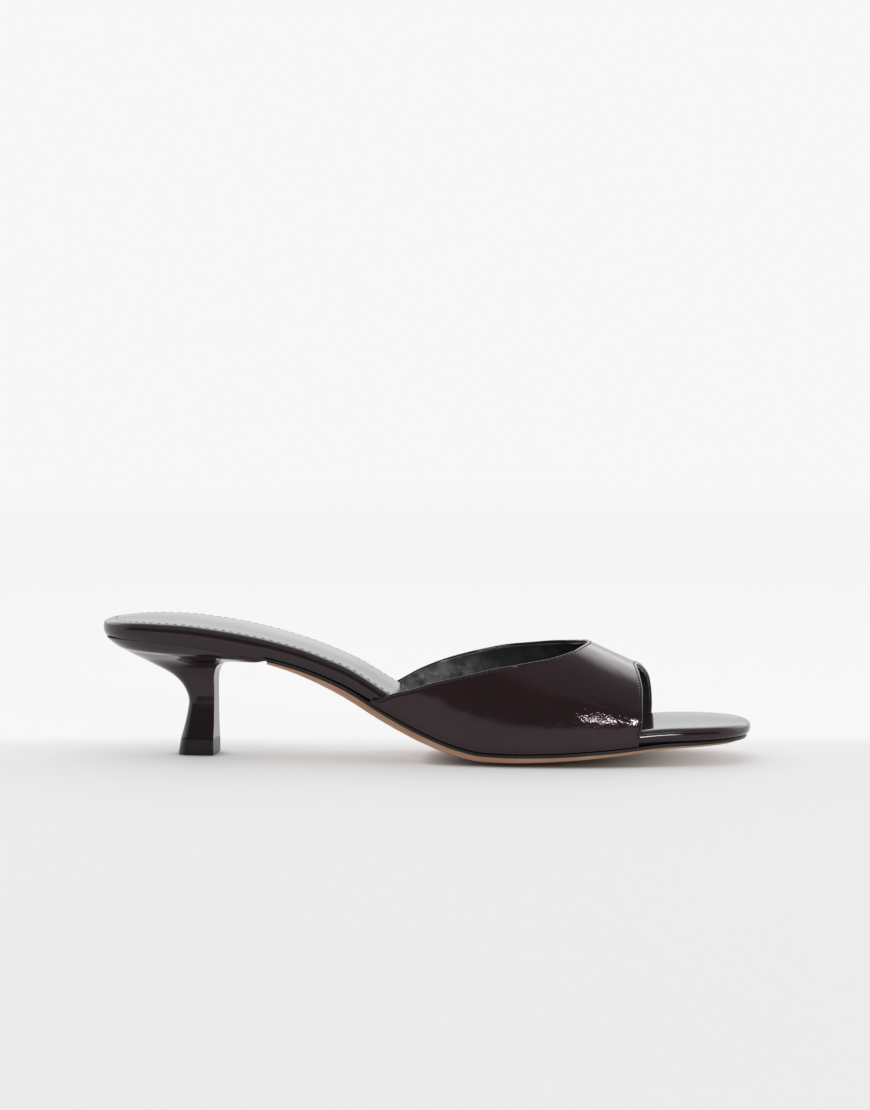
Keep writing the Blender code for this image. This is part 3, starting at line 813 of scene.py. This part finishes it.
# ---------------------------------------------------------------- heel
def heel_ring(back, front, half_a, half_b, roundness, height_at, turned):
    """Ring of a heel section: round at the back, flat across the front."""
    swing = turned * sin(HEEL_TURN)
    middle = (STEM_BACK + BREAST) / 2
    sides = []
    for side, half in ((-1, half_a), (1, half_b)):
        points = []
        for step in range(HEEL_STEPS + 1):
            share = 1.0 - cos(pi * step / HEEL_STEPS / 2)
            x = lerp(back, front, share)
            y = side * half(x) * end_round(share, roundness, HEEL_ROUND_PLAN)
            points.append(Vector((x + y * swing, y - (x - middle) * swing, height_at(x, share))))
        sides.append(points)
    across = [sides[0][-1].lerp(sides[1][-1], i / BREAST_STEPS) for i in range(1, BREAST_STEPS)]
    return sides[0] + across + list(reversed(sides[1][1:]))


def loft(rings, between):
    """More rings between the given ones, on a smooth curve through each of their points."""
    dense = []
    for i in range(len(rings) - 1):
        before, after = rings[max(0, i - 1)], rings[min(len(rings) - 1, i + 2)]
        for step in range(between):
            t = step / between
            ring = []
            for p, a, b, q in zip(before, rings[i], rings[i + 1], after):
                gap = max(TINY, (b - a).length)
                low = (b - p) * (gap / max(TINY, gap + (a - p).length))
                high = (q - a) * (gap / max(TINY, gap + (q - b).length))
                ring.append(a * (2 * t**3 - 3 * t**2 + 1) + low * (t**3 - 2 * t**2 + t)
                            + b * (3 * t**2 - 2 * t**3) + high * (t**3 - t**2))
            dense.append(ring)
    return dense + [rings[-1]]


def make_heel(cover, rubber):
    """Covered heel, flaring in from its seat to a slim stem, and its top piece."""
    half_stem = STEM_WIDTH / 2
    seat_half = LATERAL_WIDTH * OUTLINE[0].lateral - SEAT_INSET

    def even(half):
        return lambda x: half

    def seat_side(side):
        return lambda x: max(COVER_SEAT_HALF, half_width(x, side) - COVER_SEAT_INSET
                             - LIP_RECESS * smooth(*LIP_RECESS_FROM, x))

    def under(side, half):
        seat = seat_side(side)
        return lambda x: half if x < LIP_RECESS_FROM[0] else min(half, seat(x) - COVER_TUCK)
    rings = [heel_ring(COVER_SEAT_INSET + inset, LIP_END, seat_side(-1), seat_side(1),
                       COVER_SEAT_ROUND, height_at, 0.0)
             for inset, height_at in (
                 (0.0, lambda x, share: above_line(x, COVER_SEAT_LIFT)),
                 (COVER_SEAT_EDGE,
                  lambda x, share: above_line(x, -lerp(COVER_SEAT_EDGE, COVER_RIM, share))))]
    for row in HEEL_FLARE:
        half = lerp(half_stem, seat_half, row.half)
        thin = LIP_THIN if row is HEEL_FLARE[0] else 0.0
        rings.append(heel_ring(
            lerp(SEAT_INSET, STEM_BACK, row.back), lerp(LIP_END, BREAST, row.front),
            under(-1, half), under(1, half), lerp(STEM_BACK_SHARE, SEAT_BACK, row.half),
            lambda x, share, row=row, thin=thin: thin * share + HEEL_HEIGHT
            * lerp(row.back_height, row.front_height, share),
            1.0 - row.half))
    stem_top = HEEL_HEIGHT * STEM_TOP
    for row in reversed(HEEL_STEM):
        height = lerp(TIP_HEIGHT + TIP_SEAM, stem_top, row.height)
        back = STEM_BACK - row.back * (STEM_BACK - BREAST + TIP_LENGTH - TIP_TAPER)
        half = lerp(half_stem, TIP_WIDTH / 2 - COVER_STEP, row.half)
        rings.append(heel_ring(back, BREAST, even(half), even(half), STEM_BACK_SHARE,
                               lambda x, share, h=height: h, 1.0))
    points, faces = skin(loft(rings, HEEL_BETWEEN), capped=True)
    add_piece("heel_cover", points, faces, cover, "heel", HEEL_CRISP)

    rings = []
    for height, inset in ((0.0, TIP_WORN), (TIP_BEVEL, 0.0), (TIP_HEIGHT - TIP_BEVEL, 0.0),
                          (TIP_HEIGHT, TIP_BEVEL)):
        share = height / TIP_HEIGHT
        half = TIP_WIDTH / 2 - TIP_NARROWING * share - inset
        rings.append(heel_ring(BREAST - TIP_LENGTH + TIP_TAPER * share + inset, BREAST - inset,
                               even(half), even(half), STEM_BACK_SHARE,
                               lambda x, s, h=height: h, 1.0))
    points, faces = skin(rings, capped=True)
    add_piece("heel_tip", points, faces, rubber, "top_piece", HEEL_CRISP)


# ---------------------------------------------------------------- materials
# Clouds of noise whose features are about size metres across, as relief height millimetres high
Grain = namedtuple("Grain", "height size detail roughness distortion", defaults=(0.55, 0.0))
# The colour drifts between two tones over drift metres, and the roughness over its range. pores
# are the size of pebbled cells in metres and their height in millimetres
Finish = namedtuple("Finish", "tones drift roughness pores grains inputs")
LEATHER_IOR = 1.5
PORE_SMOOTHNESS = 0.6
DRIFT_RANGE, FINE_RANGE = (0.3, 0.7), (0.25, 0.75)  # of the noise, turned into the whole drift
FINE_PART = 6                   # the roughness drifts over this part of the colour's distance
GLAZE_TINT = (1.0, 0.82, 0.91, 1.0)     # the aubergine glaze colours what it reflects
THREAD_TONES = (0.0075, 0.0050, 0.0055), (0.0130, 0.0090, 0.0100)
FINISHES = {
    # Glazed calf with fine pores and a drawn grain
    "glazed_leather": Finish(
        ((0.0165, 0.0070, 0.0078), (0.0235, 0.0107, 0.0116)), 0.014, (0.09, 0.14),
        (0.00042, 0.0035), (Grain(0.022, 0.0060, 4.0),), {"Specular Tint": GLAZE_TINT}),
    "lining_leather": Finish(
        ((0.0420, 0.0420, 0.0460), (0.0820, 0.0820, 0.0880)), 0.006, (0.12, 0.20),
        (0.0006, 0.006), (Grain(0.16, 0.0050, 6.0, 0.62, 0.8),), {}),
    "sock_leather": Finish(
        ((0.0230, 0.0165, 0.0170), (0.0310, 0.0225, 0.0235)), 0.020, (0.11, 0.16),
        (0.0005, 0.0025), (Grain(0.020, 0.0090, 3.0),), {}),
    "wrapped_leather": Finish(
        ((0.0130, 0.0070, 0.0078), (0.0190, 0.0105, 0.0118)), 0.012, (0.08, 0.13),
        (0.00045, 0.003), (Grain(0.016, 0.0050, 4.0),),
        {"Specular Tint": GLAZE_TINT, "Coat Weight": 0.1, "Coat Roughness": 0.10}),
    "heel_leather": Finish(
        ((0.0110, 0.0062, 0.0066), (0.0165, 0.0092, 0.0098)), 0.010, (0.07, 0.12),
        (0.00045, 0.0012), (Grain(0.012, 0.0120, 2.0),),
        {"Specular Tint": GLAZE_TINT, "Coat Weight": 0.12, "Coat Roughness": 0.05}),
    "edge_dye": Finish(
        ((0.0060, 0.0042, 0.0045), (0.0110, 0.0080, 0.0085)), 0.006, (0.38, 0.52),
        None, (Grain(0.022, 0.0009, 5.0),), {}),
    # Vegetable-tanned sole: a fibrous edge and a smooth, buffed underside
    "tan_sole_leather": Finish(
        ((0.430, 0.222, 0.128), (0.560, 0.325, 0.210)), 0.011, (0.42, 0.56),
        None, (Grain(0.018, 0.0007, 5.0), Grain(0.020, 0.0040, 3.0)), {}),
    "tip_rubber": Finish(
        ((0.0105, 0.0066, 0.0066), (0.0150, 0.0095, 0.0095)), 0.004, (0.26, 0.38),
        None, (Grain(0.010, 0.0006, 4.0),), {"Specular IOR Level": 0.38}),
    # Waxed thread, with a little shine on the vamp and dull on the sock
    "vamp_thread": Finish(THREAD_TONES, 0.002, (0.28, 0.38), None,
                          (Grain(0.02, 0.00018, 2.0),), {"Specular IOR Level": 0.6}),
    "sock_thread": Finish(THREAD_TONES, 0.002, (0.60, 0.75), None,
                          (Grain(0.02, 0.00018, 2.0),), {"Specular IOR Level": 0.2}),
}
CRINKLE = Grain(0.22, 0.0021, 2.5, 0.6, 0.4)
CRINKLE_PLACE = (0.0650, -0.0335, 0.0215)
CRINKLE_REACH = (0.0270, 0.0200, 0.0120)
CRINKLE_ELSEWHERE = 0.03        # share of the crinkle that is left away from its patch
# Painted light on the lining: paler patches near the opening at both sides, where light falls in
PAINTED_LIGHT_PLACE = (0.0060, 0.0, 0.0250)
PAINTED_LIGHT_REACH = (0.0330, 0.0600, 0.0170)
PAINTED_LIGHT_CLOUD = {"size": 0.0050, "detail": 5.0, "distortion": 0.4}
PAINTED_LIGHT_SHARES = (0.40, 0.66, 0.15, 1.0)     # the cloud's range and how much painted light it lays on the lining
PAINTED_LIGHT_COLOUR = (0.50, 0.49, 0.50, 1.0)
PATCH_EDGE = (0.25, 1.0)        # a patch falls to nothing over this share of its reach


def add_node(tree, kind, inputs=None, **settings):
    """Node with its settings and inputs, each a value or a socket to link."""
    item = tree.nodes.new(kind)
    for key, value in settings.items():
        setattr(item, key, value)
    for key, value in (inputs or {}).items():
        if isinstance(value, bpy.types.NodeSocket):
            tree.links.new(value, item.inputs[key])
        else:
            item.inputs[key].default_value = value
    return item


def maths(tree, operation, first, second):
    return add_node(tree, "ShaderNodeMath", {0: first, 1: second}, operation=operation).outputs[0]


def scaled(tree, socket, factor):
    return maths(tree, "MULTIPLY", socket, factor)


def sum_of(tree, sockets):
    total = sockets[0]
    for socket in sockets[1:]:
        total = maths(tree, "ADD", total, socket)
    return total


def vector_maths(tree, operation, vector, other=None):
    inputs = {0: vector} if other is None else {0: vector, 1: other}
    item = add_node(tree, "ShaderNodeVectorMath", inputs, operation=operation)
    return item.outputs["Value" if operation == "LENGTH" else "Vector"]


def ranged(tree, socket, low, high, to_low, to_high, kind="LINEAR"):
    return add_node(tree, "ShaderNodeMapRange", {
        "Value": socket, "From Min": low, "From Max": high,
        "To Min": to_low, "To Max": to_high}, interpolation_type=kind).outputs["Result"]


def soft_step(tree, socket, bounds):
    """0 below the bounds, 1 above them, and a soft step between."""
    return ranged(tree, socket, *bounds, 0.0, 1.0, "SMOOTHSTEP")


def blend(tree, factor, low, high):
    """The colour low where factor is 0, and high where it is 1."""
    return add_node(tree, "ShaderNodeMix", {0: factor, 6: low, 7: high},
                    data_type="RGBA").outputs[2]


def place_of(tree):
    return add_node(tree, "ShaderNodeTexCoord").outputs["Object"]


def cloud(tree, size, detail, roughness=0.55, distortion=0.0):
    return add_node(tree, "ShaderNodeTexNoise", {
        "Vector": place_of(tree), "Scale": 1.0 / size, "Detail": detail,
        "Roughness": roughness, "Distortion": distortion}).outputs["Fac"]


def cells(tree, size):
    """Pebbled cells of about size metres, high in their middles."""
    item = add_node(tree, "ShaderNodeTexVoronoi", {
        "Vector": place_of(tree), "Scale": 1.0 / size, "Smoothness": PORE_SMOOTHNESS},
        feature="SMOOTH_F1")
    return scaled(tree, item.outputs["Distance"], -1.0)


def grained(tree, grain):
    return scaled(tree, cloud(tree, *grain[1:]), grain.height)


def near_place(tree, centre, reach):
    """1 at a place on the shoe, falling softly to 0 at reach from it, in metres on each axis."""
    offset = vector_maths(tree, "SUBTRACT", place_of(tree), centre)
    share = vector_maths(tree, "DIVIDE", offset, reach)
    return ranged(tree, vector_maths(tree, "LENGTH", share), *PATCH_EDGE, 1.0, 0.0, "SMOOTHSTEP")


def new_material(name):
    material = bpy.data.materials.new(name)
    material.use_nodes = True
    return material, material.node_tree, material.node_tree.nodes["Principled BSDF"]


def surface(name, more_relief=None):
    """Material made from its finish. more_relief makes one more height in its tree."""
    finish = FINISHES[name]
    material, tree, shader = new_material(name)
    relief = [grained(tree, grain) for grain in finish.grains]
    if finish.pores:
        size, height = finish.pores
        relief.insert(0, scaled(tree, cells(tree, size), height))
    if more_relief:
        relief.append(more_relief(tree))
    drift = ranged(tree, cloud(tree, finish.drift, detail=5.0), *DRIFT_RANGE, 0.0, 1.0)
    low, high = [(*tone, 1.0) for tone in finish.tones]
    tree.links.new(blend(tree, drift, low, high), shader.inputs["Base Color"])
    fine = cloud(tree, finish.drift / FINE_PART, detail=4.0)
    tree.links.new(ranged(tree, fine, *FINE_RANGE, *finish.roughness), shader.inputs["Roughness"])
    bump = add_node(tree, "ShaderNodeBump", {
        "Height": sum_of(tree, relief), "Distance": MM, "Strength": 1.0})
    tree.links.new(bump.outputs["Normal"], shader.inputs["Normal"])
    shader.inputs["IOR"].default_value = LEATHER_IOR
    for key, value in finish.inputs.items():
        shader.inputs[key].default_value = value
    return material


def vamp_leather():
    """The glazed calf, with a crinkled patch where the foot bends."""
    def crinkle(tree):
        patch = near_place(tree, CRINKLE_PLACE, CRINKLE_REACH)
        return scaled(tree, grained(tree, CRINKLE),
                      ranged(tree, patch, 0.0, 1.0, CRINKLE_ELSEWHERE, 1.0))
    return surface("glazed_leather", crinkle)


def lining_leather():
    """Soft black lining, with painted light: paler patches where the foot goes in at both sides."""
    material = surface("lining_leather")
    tree = material.node_tree
    colour = tree.nodes["Principled BSDF"].inputs["Base Color"]
    # Painted light: a paler cloud near the opening on both sides
    painted_light = scaled(tree, near_place(tree, PAINTED_LIGHT_PLACE, PAINTED_LIGHT_REACH),
                    ranged(tree, cloud(tree, **PAINTED_LIGHT_CLOUD), *PAINTED_LIGHT_SHARES))
    plain = colour.links[0].from_socket
    tree.links.new(blend(tree, painted_light, plain, PAINTED_LIGHT_COLOUR), colour)
    return material


# ---------------------------------------------------------------- studio
def add_camera():
    data = bpy.data.cameras.new("camera")
    data.sensor_fit = "HORIZONTAL"
    data.sensor_width = SENSOR
    data.lens = FOCAL_PIXELS * SENSOR / PHOTO_WIDTH
    data.clip_start, data.clip_end = CAMERA_CLIP
    camera = bpy.data.objects.new("camera", data)
    camera.location = CAMERA_PLACE
    camera.rotation_euler = Euler((pi / 2 - CAMERA_TILT, 0.0, CAMERA_PAN), "XYZ")
    bpy.context.scene.collection.objects.link(camera)
    bpy.context.scene.camera = camera


def add_world():
    """White surround, dark towards the front and grey overhead, and plain white to the eye."""
    world = bpy.data.worlds.new("studio")
    world.use_nodes = True
    tree = world.node_tree
    background = tree.nodes["Background"]
    direction = add_node(tree, "ShaderNodeTexCoord").outputs["Generated"]
    parts = add_node(tree, "ShaderNodeSeparateXYZ", {"Vector": direction}).outputs

    def mixed(factor, low, high):
        """low where factor is 0 and high where it is 1."""
        part = scaled(tree, maths(tree, "SUBTRACT", high, low), factor)
        return maths(tree, "ADD", part, low)
    high = scaled(tree, soft_step(tree, parts["Y"], BACK_SPREAD),
                  soft_step(tree, parts["Z"], BACK_HIGH_START))
    behind = mixed(high, BACK_WHITE, BACK_HIGH)
    front = soft_step(tree, scaled(tree, parts["Y"], -1.0), FRONT_SPREAD)
    sides = mixed(front, behind, FRONT_DARK)
    whole = mixed(soft_step(tree, parts["Z"], OVERHEAD_START), sides, OVERHEAD)
    seen = add_node(tree, "ShaderNodeLightPath").outputs["Is Camera Ray"]
    tree.links.new(mixed(seen, whole, BACK_WHITE), background.inputs["Strength"])
    background.inputs["Color"].default_value = grey(1.0)
    bpy.context.scene.world = world


def add_area_light(name, place, size, power, in_reflections):
    """Rectangular light that faces the shoe and that the camera doesn't see."""
    data = bpy.data.lights.new(name, "AREA")
    data.shape = "RECTANGLE"
    data.size, data.size_y = size
    data.energy = power
    light = bpy.data.objects.new(name, data)
    light.location = place
    light.rotation_euler = Vector(place).to_track_quat("Z", "Y").to_euler()
    light.visible_glossy = in_reflections
    light.visible_camera = False
    bpy.context.scene.collection.objects.link(light)


def add_lights():
    add_area_light("top_light", TOP_LIGHT_PLACE, TOP_LIGHT_SIZE, TOP_LIGHT_POWER, False)
    reach = FRONT_BOX_DISTANCE * cos(FRONT_BOX_HEIGHT)
    width, height = FRONT_BOX_SIZE
    power = FRONT_BOX_RADIANCE * pi * width * height
    add_area_light("front_box", (reach * sin(FRONT_BOX_AZIMUTH), -reach * cos(FRONT_BOX_AZIMUTH),
                                 FRONT_BOX_DISTANCE * sin(FRONT_BOX_HEIGHT)),
                   FRONT_BOX_SIZE, power, True)


def grey(tone):
    return (tone, tone, tone, 1.0)


def add_floor():
    """Pale paper: lighter behind the shoe than in front of it, with a soft change between. Its glow
    is painted fill light, and it fades near what stands on it as a painted contact shadow.
    """
    bpy.ops.mesh.primitive_plane_add(size=FLOOR_SIZE, location=(0.0, 0.0, FLOOR_LEVEL))
    floor = bpy.context.object
    floor.name = "floor"
    material, tree, shader = new_material("floor_paper")
    place = add_node(tree, "ShaderNodeSeparateXYZ", {"Vector": place_of(tree)}).outputs
    depth = sum_of(tree, [scaled(tree, place["X"], -sin(CAMERA_PAN)),
                          scaled(tree, place["Y"], cos(CAMERA_PAN))])
    back = soft_step(tree, depth, FLOOR_TURN)
    for key, share in (("Base Color", FLOOR_LIT), ("Emission Color", 1.0)):
        tone = blend(tree, back, grey(share * FLOOR_FRONT), grey(share * FLOOR_BACK))
        tree.links.new(tone, shader.inputs[key])
    # Painted contact shadow: the paper's glow fades where the shoe stands close over it
    open_share = add_node(tree, "ShaderNodeAmbientOcclusion", {"Distance": PAINTED_SHADOW_REACH},
                          samples=PAINTED_SHADOW_SAMPLES).outputs["AO"]
    painted_fill = scaled(tree, maths(tree, "POWER", open_share, PAINTED_SHADOW_POWER), FLOOR_PAINTED_FILL)
    tree.links.new(painted_fill, shader.inputs["Emission Strength"])
    shader.inputs["Roughness"].default_value = FLOOR_ROUGHNESS
    shader.inputs["Specular IOR Level"].default_value = FLOOR_SHINE
    far = soft_step(tree, vector_maths(tree, "LENGTH", place_of(tree)), FLOOR_FADE)
    surround = add_node(tree, "ShaderNodeEmission", {"Strength": BACK_WHITE})
    whole = add_node(tree, "ShaderNodeMixShader", {
        0: far, 1: shader.outputs[0], 2: surround.outputs[0]})
    tree.links.new(whole.outputs[0], tree.nodes["Material Output"].inputs["Surface"])
    floor.data.materials.append(material)


add_camera()
add_world()
add_lights()
add_floor()
make_sock(surface("sock_leather"))
make_band(surface("wrapped_leather"))
make_welt(surface("edge_dye"))
make_outsole(surface("tan_sole_leather"))
make_upper(vamp_leather(), lining_leather(), surface("vamp_thread"))
make_sock_stitches(surface("sock_thread"))
make_heel(surface("heel_leather"), surface("tip_rubber"))
bpy.context.scene.view_settings.view_transform = "Standard"
